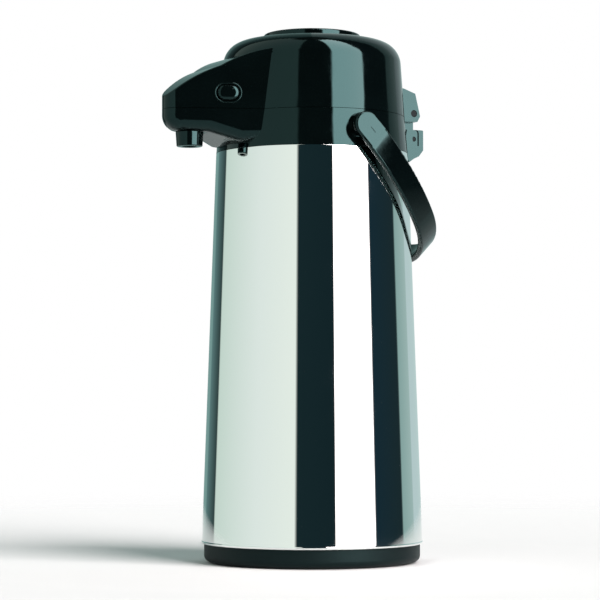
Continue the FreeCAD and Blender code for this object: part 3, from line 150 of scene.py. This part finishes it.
def satin_black_pp():
    """Polypropylene from a spark-eroded tool: fine even grain that spreads the light."""
    material, tree = new_material("satin_black_pp")
    place = add(tree, "ShaderNodeTexCoord").outputs["Object"]
    cloud = add(tree, "ShaderNodeTexNoise", {"Vector": place, "Scale": per(24), "Detail": 4.0})
    tint = add(tree, "ShaderNodeValToRGB", {"Fac": cloud.outputs["Fac"]})
    tint.color_ramp.elements[0].color = linear("#050a0b")
    tint.color_ramp.elements[1].color = linear("#091011")
    # The real grain is about 0.2 mm; it is drawn at 0.7 mm so that it shows.
    grain = add(tree, "ShaderNodeTexNoise", {"Vector": place, "Scale": per(0.7), "Detail": 2.0})
    spread = add(tree, "ShaderNodeMapRange", {
        "Value": grain.outputs["Fac"], "To Min": 0.38, "To Max": 0.62})
    bump = add(tree, "ShaderNodeBump", {
        "Height": grain.outputs["Fac"], "Strength": 0.25, "Distance": 0.05 * MM})
    shader = add(tree, "ShaderNodeBsdfPrincipled", {
        "Base Color": tint.outputs["Color"], "Roughness": spread.outputs["Result"], "IOR": 1.49,
        "Specular IOR Level": 0.15, "Specular Tint": linear("#bcf7f7"), "Normal": bump.outputs["Normal"]})
    add(tree, "ShaderNodeOutputMaterial", {"Surface": shader.outputs[0]})
    return material


def mirror_steel():
    """Stainless sheet, mirror polished on a lathe: near-perfect reflections under a thin haze."""
    material, tree = new_material("mirror_polished_stainless")
    place = add(tree, "ShaderNodeTexCoord").outputs["Object"]
    # Polishing marks are hundredths of a millimetre apart and run round the body.
    # They are drawn 1.4 mm apart and 167 mm long.
    round_marks = add(tree, "ShaderNodeMapping", {
        "Vector": place, "Scale": (per(166.7), per(166.7), per(1.4))})
    marks = add(tree, "ShaderNodeTexNoise", {
        "Vector": round_marks.outputs["Vector"], "Scale": 1.0, "Detail": 2.0})
    bump = add(tree, "ShaderNodeBump", {
        "Height": marks.outputs["Fac"], "Strength": 0.05, "Distance": 0.01 * MM})
    haze = add(tree, "ShaderNodeTexNoise", {
        "Vector": place, "Scale": per(30), "Detail": 4.0, "Roughness": 0.6})
    film = add(tree, "ShaderNodeMapRange", {
        "Value": haze.outputs["Fac"], "From Min": 0.4, "From Max": 0.75, "To Min": 0.012, "To Max": 0.05})
    shader = add(tree, "ShaderNodeBsdfPrincipled", {
        "Base Color": linear("#e4e9e7"), "Metallic": 1.0, "Roughness": film.outputs["Result"],
        "Normal": bump.outputs["Normal"]})
    add(tree, "ShaderNodeOutputMaterial", {"Surface": shader.outputs[0]})
    return material


def blackened_steel():
    """Steel pins blackened in hot salts: a dark oiled skin with a metal sheen, rubbed in places."""
    material, tree = new_material("black_oxide_steel")
    place = add(tree, "ShaderNodeTexCoord").outputs["Object"]
    rub = add(tree, "ShaderNodeTexNoise", {"Vector": place, "Scale": per(1.6), "Detail": 4.0})
    tint = add(tree, "ShaderNodeValToRGB", {"Fac": rub.outputs["Fac"]})
    tint.color_ramp.elements[0].color = linear("#070909")
    tint.color_ramp.elements[1].color = linear("#1a1d1e")
    oil = add(tree, "ShaderNodeMapRange", {"Value": rub.outputs["Fac"], "To Min": 0.3, "To Max": 0.5})
    shader = add(tree, "ShaderNodeBsdfPrincipled", {
        "Base Color": tint.outputs["Color"], "Metallic": 1.0, "Roughness": oil.outputs["Result"]})
    add(tree, "ShaderNodeOutputMaterial", {"Surface": shader.outputs[0]})
    return material


def turned_steel():
    """Small steel parts off a lathe: bright, with a slightly worn plating."""
    material, tree = new_material("turned_plated_steel")
    place = add(tree, "ShaderNodeTexCoord").outputs["Object"]
    # Tool marks are about 0.1 mm apart; the wear over them is drawn at 1.1 mm.
    worn = add(tree, "ShaderNodeTexNoise", {"Vector": place, "Scale": per(1.1), "Detail": 3.0})
    spread = add(tree, "ShaderNodeMapRange", {"Value": worn.outputs["Fac"], "To Min": 0.2, "To Max": 0.38})
    tint = add(tree, "ShaderNodeValToRGB", {"Fac": worn.outputs["Fac"]})
    tint.color_ramp.elements[0].color = linear("#a3a7a8")
    tint.color_ramp.elements[1].color = linear("#c9cccb")
    bump = add(tree, "ShaderNodeBump", {
        "Height": worn.outputs["Fac"], "Strength": 0.15, "Distance": 0.02 * MM})
    shader = add(tree, "ShaderNodeBsdfPrincipled", {
        "Base Color": tint.outputs["Color"], "Metallic": 1.0, "Roughness": spread.outputs["Result"],
        "Normal": bump.outputs["Normal"]})
    add(tree, "ShaderNodeOutputMaterial", {"Surface": shader.outputs[0]})
    return material


def grey_pp():
    """Grey polypropylene for food parts: waxy, a little light goes into it."""
    material, tree = new_material("grey_moulded_pp")
    place = add(tree, "ShaderNodeTexCoord").outputs["Object"]
    cloud = add(tree, "ShaderNodeTexNoise", {"Vector": place, "Scale": per(18), "Detail": 4.0})
    tint = add(tree, "ShaderNodeValToRGB", {"Fac": cloud.outputs["Fac"]})
    tint.color_ramp.elements[0].color = linear("#8d9494")
    tint.color_ramp.elements[1].color = linear("#a3a9a8")
    # The tool's grain is about 0.2 mm; it is drawn at 1.2 mm.
    grain = add(tree, "ShaderNodeTexNoise", {"Vector": place, "Scale": per(1.2), "Detail": 2.0})
    bump = add(tree, "ShaderNodeBump", {
        "Height": grain.outputs["Fac"], "Strength": 0.15, "Distance": 0.03 * MM})
    shader = add(tree, "ShaderNodeBsdfPrincipled", {
        "Base Color": tint.outputs["Color"], "Roughness": 0.42, "IOR": 1.49, "Subsurface Weight": 0.08,
        "Subsurface Scale": 1.5 * MM, "Normal": bump.outputs["Normal"]})
    add(tree, "ShaderNodeOutputMaterial", {"Surface": shader.outputs[0]})
    return material


def milky_silicone():
    """Platinum-cured silicone: milky, soft highlights, dust clings to it."""
    material, tree = new_material("milky_silicone")
    place = add(tree, "ShaderNodeTexCoord").outputs["Object"]
    dust = add(tree, "ShaderNodeTexNoise", {"Vector": place, "Scale": per(2.4), "Detail": 5.0})
    tint = add(tree, "ShaderNodeValToRGB", {"Fac": dust.outputs["Fac"]})
    tint.color_ramp.elements[0].color = linear("#c9cdc8")
    tint.color_ramp.elements[1].color = linear("#e3e6e1")
    shine = add(tree, "ShaderNodeMapRange", {"Value": dust.outputs["Fac"], "To Min": 0.3, "To Max": 0.5})
    shader = add(tree, "ShaderNodeBsdfPrincipled", {
        "Base Color": tint.outputs["Color"], "Roughness": shine.outputs["Result"], "IOR": 1.41,
        "Subsurface Weight": 0.25, "Subsurface Scale": 2.0 * MM})
    add(tree, "ShaderNodeOutputMaterial", {"Surface": shader.outputs[0]})
    return material


def black_rubber():
    """Moulded thermoplastic rubber: dull black with a fine matt grain."""
    material, tree = new_material("black_moulded_rubber")
    place = add(tree, "ShaderNodeTexCoord").outputs["Object"]
    # The tool's grain is about 0.2 mm; it is drawn at 0.9 mm.
    grain = add(tree, "ShaderNodeTexNoise", {"Vector": place, "Scale": per(0.9), "Detail": 3.0})
    tint = add(tree, "ShaderNodeValToRGB", {"Fac": grain.outputs["Fac"]})
    tint.color_ramp.elements[0].color = linear("#101213")
    tint.color_ramp.elements[1].color = linear("#1b1e1f")
    bump = add(tree, "ShaderNodeBump", {
        "Height": grain.outputs["Fac"], "Strength": 0.3, "Distance": 0.06 * MM})
    shader = add(tree, "ShaderNodeBsdfPrincipled", {
        "Base Color": tint.outputs["Color"], "Roughness": 0.72, "IOR": 1.5,
        "Normal": bump.outputs["Normal"]})
    add(tree, "ShaderNodeOutputMaterial", {"Surface": shader.outputs[0]})
    return material


def silvered_glass():
    """Blown glass flask, silvered inside its vacuum wall: a bright metal film with slow ripples."""
    material, tree = new_material("silvered_blown_glass")
    place = add(tree, "ShaderNodeTexCoord").outputs["Object"]
    ripple = add(tree, "ShaderNodeTexNoise", {"Vector": place, "Scale": per(22), "Detail": 2.0})
    tint = add(tree, "ShaderNodeValToRGB", {"Fac": ripple.outputs["Fac"]})
    tint.color_ramp.elements[0].color = linear("#c3c4bd")
    tint.color_ramp.elements[1].color = linear("#dfe0da")
    bump = add(tree, "ShaderNodeBump", {
        "Height": ripple.outputs["Fac"], "Strength": 0.2, "Distance": 0.3 * MM})
    shader = add(tree, "ShaderNodeBsdfPrincipled", {
        "Base Color": tint.outputs["Color"], "Metallic": 1.0, "Roughness": 0.06, "Coat Weight": 0.6,
        "Coat Roughness": 0.02, "Normal": bump.outputs["Normal"]})
    add(tree, "ShaderNodeOutputMaterial", {"Surface": shader.outputs[0]})
    return material


GLOSS = gloss_black_abs()
SATIN = satin_black_pp()
MIRROR = mirror_steel()
STEEL = turned_steel()
BLACKENED = blackened_steel()
GREY = grey_pp()
SILICONE = milky_silicone()
RUBBER = black_rubber()
SILVERED = silvered_glass()

NODE_MATERIALS = {
    GLOSS: ["collar", "handle", "hinge_bracket", "lid_cover", "lock_slider", "nozzle", "pivot_cap_left",
            "pivot_cap_right", "push_plate", "release_button_left", "release_button_right",
            "release_lever"],
    SATIN: ["swivel_base", "base_cup"],
    RUBBER: ["anti_slip_ring", "liner_cushion", "neck_gasket"],
    MIRROR: ["outer_shell"],
    STEEL: ["button_spring_left", "button_spring_right", "check_ball", "delivery_pipe", "dip_tube",
            "flange_screws", "lever_spring", "lid_screws", "return_spring", "swivel_bolt"],
    BLACKENED: ["bracket_screws", "hinge_pin", "lever_pin", "pivot_screws"],
    GREY: ["lid_base", "liner_support", "neck_flange", "stopper", "valve_cap", "plunger", "pivot_washers",
           "swivel_glide"],
    SILICONE: ["stopper_seal", "bellows", "bellows_seal", "pipe_seal", "air_valve"],
    SILVERED: ["liner_inner_flask", "liner_outer_flask"],
}
for material, names in NODE_MATERIALS.items():
    for name in names:
        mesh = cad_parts[name].data
        mesh.materials.clear()
        mesh.materials.append(material)


# ---- modelling helpers --------------------------------------------------------------------------


def select_only(piece):
    bpy.ops.object.select_all(action="DESELECT")
    piece.select_set(True)
    bpy.context.view_layer.objects.active = piece


def edit(piece):
    select_only(piece)
    bpy.ops.object.mode_set(mode="EDIT")
    bpy.ops.mesh.select_all(action="SELECT")


def pick_faces(piece, wanted):
    """Select only the wanted faces, ready for an edit, and return the numbers of their vertices."""
    select_only(piece)
    mesh = piece.data
    for parts in (mesh.vertices, mesh.edges, mesh.polygons):
        parts.foreach_set("select", [False] * len(parts))
    chosen = [face for face in mesh.polygons if wanted(face)]
    corners = {i for face in chosen for i in face.vertices}
    for face in chosen:
        face.select = True
    for i in corners:
        mesh.vertices[i].select = True
    return corners


def settle(piece, name, material, sharp=30):
    """Close an edit: name the piece, put its place in its mesh, and shade it smooth but its flats flat."""
    if piece.mode == "EDIT":
        bpy.ops.object.mode_set(mode="OBJECT")
    select_only(piece)
    bpy.ops.object.transform_apply(location=True, rotation=True, scale=True)
    bpy.ops.object.shade_smooth_by_angle(angle=math.radians(sharp))
    flats = piece.modifiers.new("flats", "WEIGHTED_NORMAL")
    flats.keep_sharp = True
    bpy.ops.object.modifier_apply(modifier=flats.name)
    piece.name = name
    piece.data.name = name
    piece.data.materials.clear()
    piece.data.materials.append(material)
    return piece


def soft(corners, steps=7):
    """A profile of (across, up, round) corners in mm, with each rounded corner as an arc."""
    points = []
    for i, (across, up, rounding) in enumerate(corners):
        here = Vector((across, up))
        if not rounding:
            points.append(here)
            continue
        back = (Vector(corners[i - 1][:2]) - here).normalized()
        on = (Vector(corners[(i + 1) % len(corners)][:2]) - here).normalized()
        half = back.angle(on) / 2
        centre = here + (back + on).normalized() * (rounding / math.sin(half))
        start = here + back * (rounding / math.tan(half)) - centre
        turn = math.copysign(math.pi - 2 * half, back.x * on.y - back.y * on.x)
        for step in range(steps + 1):
            angle = -turn * step / steps
            points.append(centre + Vector((start.x * math.cos(angle) - start.y * math.sin(angle),
                                           start.x * math.sin(angle) + start.y * math.cos(angle))))
    return points


def turned(corners):
    """A turned piece left in edit mode: one ring, extruded and resized round its closed profile."""
    profile = soft(corners)
    profile.append(profile[0])
    radius, height = profile[0]
    bpy.ops.object.select_all(action="DESELECT")
    bpy.ops.mesh.primitive_circle_add(vertices=SEGMENTS, radius=radius * MM, location=(0, 0, height * MM))
    piece = bpy.context.object
    edit(piece)
    for wide, tall in profile[1:]:
        bpy.ops.mesh.extrude_region_move(TRANSFORM_OT_translate={"value": (0, 0, (tall - height) * MM)})
        bpy.ops.transform.resize(value=(wide / radius, wide / radius, 1))
        radius, height = wide, tall
    bpy.ops.mesh.select_all(action="SELECT")
    bpy.ops.mesh.remove_doubles(threshold=0.001 * MM)
    bpy.ops.mesh.normals_make_consistent(inside=False)
    return piece


def bevelled(piece, width_mm, segments=3, angle=32):
    """Round a piece's sharp edges with an applied bevel."""
    select_only(piece)
    bevel = piece.modifiers.new("edges", "BEVEL")
    bevel.width = width_mm * MM
    bevel.segments = segments
    bevel.limit_method = "ANGLE"
    bevel.angle_limit = math.radians(angle)
    bevel.use_clamp_overlap = True
    bpy.ops.object.modifier_apply(modifier=bevel.name)
    return piece


def copied(node, join_flats=True):
    """A merged copy of a CAD node's mesh, with its flat faces joined up if wanted."""
    bpy.ops.object.select_all(action="DESELECT")
    piece = bpy.data.objects.new(f"{node}_copy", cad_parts[node].data.copy())
    bpy.context.scene.collection.objects.link(piece)
    edit(piece)
    bpy.ops.mesh.remove_doubles(threshold=0.002 * MM)
    if join_flats:
        bpy.ops.mesh.dissolve_limited(angle_limit=math.radians(0.2))
    bpy.ops.object.mode_set(mode="OBJECT")
    return piece


def fitted(piece, body, slot, *nodes):
    """Put a finished piece on its body, in place of CAD nodes; the slot it is given is not used."""
    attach(piece, body)
    if nodes:
        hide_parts(*nodes)
    return piece


def radius_at(node, height_mm, reach_mm=0.4):
    """Widest radius of a CAD node near a height, in mm."""
    near = [v.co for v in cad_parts[node].data.vertices if abs(v.co.z / MM - height_mm) < reach_mm]
    return max(math.hypot(c.x, c.y) for c in near) / MM


def heights(node):
    low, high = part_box(node)
    return low.z / MM, high.z / MM


# ---- steel body ---------------------------------------------------------------------------------


def steel_body():
    """Drawn steel body: a thin tapered wall, its foot rolled into a bead and its top turned in."""
    low, high = heights("outer_shell")
    foot = radius_at("outer_shell", low + SHEET, reach_mm=1.0)
    top = radius_at("outer_shell", high)
    waist = foot - FOOT_STEP
    step = low + FOOT_BEAD + FOOT_STEP_RISE
    piece = turned([
        (foot - TURNED_IN, low, 0),
        (foot, low, FOOT_BEAD * 0.5),
        (foot, low + FOOT_BEAD, FOOT_BEAD * 0.4),
        (waist, step, SHEET / 4),
        (top, high, TOP_ROUND),
        (top - TURNED_IN, high, SHEET / 4),
        (top - TURNED_IN, high - SHEET, 0),
        (top - SHEET, high - SHEET, 0),
        (waist - SHEET, step, 0),
        (foot - TURNED_IN, low + SHEET, 0),
    ])
    settle(piece, "steel_body", MIRROR)
    return fitted(piece, "root", "mirror_steel", "outer_shell")


def moulding(node, body, edge_mm):
    """A moulded part with its own edges eased, as a polished tool leaves them."""
    piece = copied(node)
    if edge_mm:
        bevelled(piece, edge_mm)
    settle(piece, f"{node}_moulding", GLOSS)
    return fitted(piece, body, "black_gloss", node)


def springy(node, slot, material):
    """A spring or bellows of the lid, put on the lid with a mesh of its own."""
    piece = copied(node, join_flats=False)
    settle(piece, f"{node}_springy", material, 60)
    fitted(piece, "lid", slot, node)
    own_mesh(piece)


def outward(side):
    """The way a release button faces, out of the tapered side of the beak."""
    taper = math.radians(BEAK_TAPER)
    return Vector((side * math.cos(taper), -math.sin(taper), 0))


def release_button(name, side):
    """A pill-shaped release button with a crowned face, in a raised bead on the side of the beak."""
    node, facing = f"release_button_{name}", outward(side)
    along = Vector((-facing.y, facing.x, 0))
    piece = copied(node)
    reach = max(v.co.dot(facing) for v in piece.data.vertices)
    near = reach - 0.1 * MM
    front = pick_faces(
        piece, lambda face: face.normal.dot(facing) > FACE_ON and face.center.dot(facing) > near)
    rim = [piece.data.vertices[i].co.copy() for i in front]
    bpy.ops.object.mode_set(mode="EDIT")
    for inset, rise in BUTTON_CROWN:
        bpy.ops.mesh.inset(thickness=inset * MM, depth=rise * MM)
    settle(piece, f"{node}_moulding", GLOSS, 60)
    fitted(piece, f"button_{name}", "black_gloss", node)

    spans = [[spot.dot(way) for spot in rim] for way in (along, UP)]
    across, up = (((min(span) + max(span)) / 2) for span in spans)
    length, width = ((max(span) - min(span) + 2 * BEAD_OFFSET * MM) for span in spans)
    bpy.ops.object.select_all(action="DESELECT")
    bpy.ops.mesh.primitive_circle_add(vertices=64, radius=width / 2)
    bead = bpy.context.object
    for vertex in bead.data.vertices:
        vertex.co.x += math.copysign((length - width) / 2, vertex.co.x)
    bpy.ops.object.convert(target="CURVE")
    bead.data.bevel_depth = BEAD_RADIUS * MM
    bead.data.bevel_resolution = 4
    bpy.ops.object.convert(target="MESH")
    bead.location = facing * (reach - BUTTON_STAND * MM) + along * across + UP * up
    bead.rotation_euler = (math.radians(90), 0, math.atan2(along.y, along.x))
    settle(bead, f"button_bead_{name}", GLOSS, 60)
    fitted(bead, "lid", "black_gloss")


steel_body()
moulding("lid_cover", "lid", 0.3)
moulding("collar", "root", 0.3)
moulding("push_plate", "plate", 0.4)
moulding("handle", "bail", 0)
moulding("release_lever", "lever", 0.4)
moulding("hinge_bracket", "root", 0.4)
moulding("nozzle", "root", 0.5)
springy("bellows", "silicone", SILICONE)
springy("return_spring", "steel", STEEL)
for name, side in (("right", 1), ("left", -1)):
    release_button(name, side)
    springy(f"button_spring_{name}", "steel", STEEL)


# ---- studio -------------------------------------------------------------------------------------


# What stands round the object, from its left round behind the camera to its right:
# (from, to, colour at each end), in degrees from the camera. LIGHT multiplies every brightness, and
# EDGE_BLUR is how far each end is drawn in to soften the edge, as a share of the full turn.
LIGHT = 8.0
EDGE_BLUR = 0.0015
STUDIO = [
    (-180, -150, (0.028, 0.046, 0.044), (0.024, 0.042, 0.04)),
    (-150, -124, (0.015, 0.028, 0.028), (0.004, 0.007, 0.007)),
    (-124, -60, (0.084, 0.1, 0.091), (0.112, 0.12, 0.1155)),
    (-60, -17, (0.112, 0.12, 0.1155), (0.122, 0.128, 0.12)),
    (-17, 25.5, (0.0012, 0.0030, 0.0036), (0.0010, 0.0026, 0.0032)),
    (25.5, 68.5, (1.5, 1.36, 1.36), (1.5, 1.36, 1.36)),
    (68.5, 110, (0.0012, 0.0035, 0.0052), (0.0016, 0.0034, 0.004)),
    (110, 134, (0.036, 0.055, 0.053), (0.05, 0.068, 0.066)),
    (134, 180, (0.068, 0.085, 0.087), (0.064, 0.082, 0.08)),
]

# The dark ceiling and the lit ground: between which heights of the view, from -1 to 1, each fades in,
# how much light the ceiling leaves, and the ground's colour.
CEILING_FROM, CEILING_TO, CEILING_LEAVES = 0.965, 0.985, 0.02
GROUND_FULL, GROUND_ENDS = -0.4, -0.3
GROUND = (0.1, 0.11, 0.108, 1.0)
WHITE = (1.0, 1.0, 1.0, 1.0)

# A mix node has several sockets of each name, for numbers, vectors and colours, so the colours go by number.
MIX_A, MIX_B, MIXED = 6, 7, 2

# The floor: its size, its drop below the foot, and where its paper starts to fade and is gone, in metres.
FLOOR_RADIUS = 3.0
FLOOR_DROP = 0.1 * MM
FADE_FROM, FADE_TO = 0.25, 1.1


def studio():
    """Upright soft boxes and dark flags round the object, and a white surround that the camera sees."""
    world = bpy.data.worlds.new("studio")
    bpy.context.scene.world = world
    world.use_nodes = True
    tree = world.node_tree
    tree.nodes.clear()
    way = add(tree, "ShaderNodeTexCoord").outputs["Generated"]
    turn = add(tree, "ShaderNodeVectorRotate", {"Vector": way, "Angle": -math.radians(CAMERA_AZIMUTH)},
               rotation_type="Z_AXIS")
    split = add(tree, "ShaderNodeSeparateXYZ", {"Vector": turn.outputs["Vector"]})
    toward = add(tree, "ShaderNodeMath", {0: split.outputs["Y"], 1: -1.0}, operation="MULTIPLY")
    angle = add(tree, "ShaderNodeMath", {0: split.outputs["X"], 1: toward.outputs[0]}, operation="ARCTAN2")
    share = add(tree, "ShaderNodeMapRange", {
        "Value": angle.outputs[0], "From Min": -math.pi, "From Max": math.pi})
    ramp = add(tree, "ShaderNodeValToRGB", {"Fac": share.outputs["Result"]})
    stops = ramp.color_ramp
    edges = []
    for start, end, colour, last in STUDIO:
        edges += [(start / 360 + 0.5 + EDGE_BLUR, colour), (end / 360 + 0.5 - EDGE_BLUR, last)]
    while len(stops.elements) > 1:
        stops.elements.remove(stops.elements[-1])
    stops.elements[0].position = edges[0][0]
    for spot, shade in edges[1:]:
        stops.elements.new(spot)
    for stop, (spot, shade) in zip(stops.elements, edges):
        stop.color = (*shade, 1.0)
    ceiling = add(tree, "ShaderNodeMapRange", {
        "Value": split.outputs["Z"], "From Min": CEILING_FROM, "From Max": CEILING_TO,
        "To Min": 1.0, "To Max": CEILING_LEAVES})
    below = add(tree, "ShaderNodeMapRange", {
        "Value": split.outputs["Z"], "From Min": GROUND_FULL, "From Max": GROUND_ENDS,
        "To Min": 1.0, "To Max": 0.0})
    boxes = add(tree, "ShaderNodeMix", {
        "Factor": below.outputs["Result"], MIX_A: ramp.outputs["Color"], MIX_B: GROUND}, data_type="RGBA")
    strength = add(tree, "ShaderNodeMath", {0: ceiling.outputs["Result"], 1: LIGHT}, operation="MULTIPLY")
    lit = add(tree, "ShaderNodeBackground", {
        "Color": boxes.outputs[MIXED], "Strength": strength.outputs[0]})
    white = add(tree, "ShaderNodeBackground", {"Color": WHITE, "Strength": 1.0})
    seen = add(tree, "ShaderNodeLightPath").outputs["Is Camera Ray"]
    both = add(tree, "ShaderNodeMixShader", {"Fac": seen, 1: lit.outputs[0], 2: white.outputs[0]})
    add(tree, "ShaderNodeOutputWorld", {"Surface": both.outputs[0]})


def pale_paper():
    """Seamless white paper: pale and matt, fading into the white surround where the sweep would rise."""
    material, tree = new_material("seamless_white_paper")
    place = add(tree, "ShaderNodeTexCoord").outputs["Object"]
    tooth = add(tree, "ShaderNodeTexNoise", {"Vector": place, "Scale": per(1.5), "Detail": 3.0})
    bump = add(tree, "ShaderNodeBump", {
        "Height": tooth.outputs["Fac"], "Strength": 0.1, "Distance": 0.1 * MM})
    shade = add(tree, "ShaderNodeValToRGB", {"Fac": tooth.outputs["Fac"]})
    shade.color_ramp.elements[0].color = linear("#c2c5c5")
    shade.color_ramp.elements[1].color = linear("#cacdcd")
    paper = add(tree, "ShaderNodeBsdfPrincipled", {
        "Base Color": shade.outputs["Color"], "Roughness": 0.8, "Normal": bump.outputs["Normal"]})
    gone = add(tree, "ShaderNodeBsdfTransparent")
    distance = add(tree, "ShaderNodeVectorMath", {0: place}, operation="LENGTH")
    fade = add(tree, "ShaderNodeMapRange", {
        "Value": distance.outputs["Value"], "From Min": FADE_FROM, "From Max": FADE_TO})
    mix = add(tree, "ShaderNodeMixShader", {
        "Fac": fade.outputs["Result"], 1: paper.outputs[0], 2: gone.outputs[0]})
    add(tree, "ShaderNodeOutputMaterial", {"Surface": mix.outputs[0]})
    return material


def floor():
    bpy.ops.object.select_all(action="DESELECT")
    bpy.ops.mesh.primitive_circle_add(
        vertices=96, radius=FLOOR_RADIUS, fill_type="NGON", location=(0, 0, -FLOOR_DROP))
    sheet = bpy.context.object
    sheet.name = "paper_floor"
    sheet.data.materials.append(pale_paper())


def camera():
    data = bpy.data.cameras.new("camera")
    data.lens = CAMERA_LENS
    eye = bpy.data.objects.new("camera", data)
    azimuth = math.radians(CAMERA_AZIMUTH)
    across, back = CAMERA_DISTANCE * math.sin(azimuth), CAMERA_DISTANCE * math.cos(azimuth)
    eye.location = (across, -back, CAMERA_HEIGHT)
    eye.rotation_euler = (math.radians(90 + CAMERA_TILT), 0, math.radians(CAMERA_AZIMUTH + CAMERA_PAN))
    bpy.context.scene.collection.objects.link(eye)
    bpy.context.scene.camera = eye


studio()
floor()
camera()
bpy.context.scene.view_settings.view_transform = "Standard"
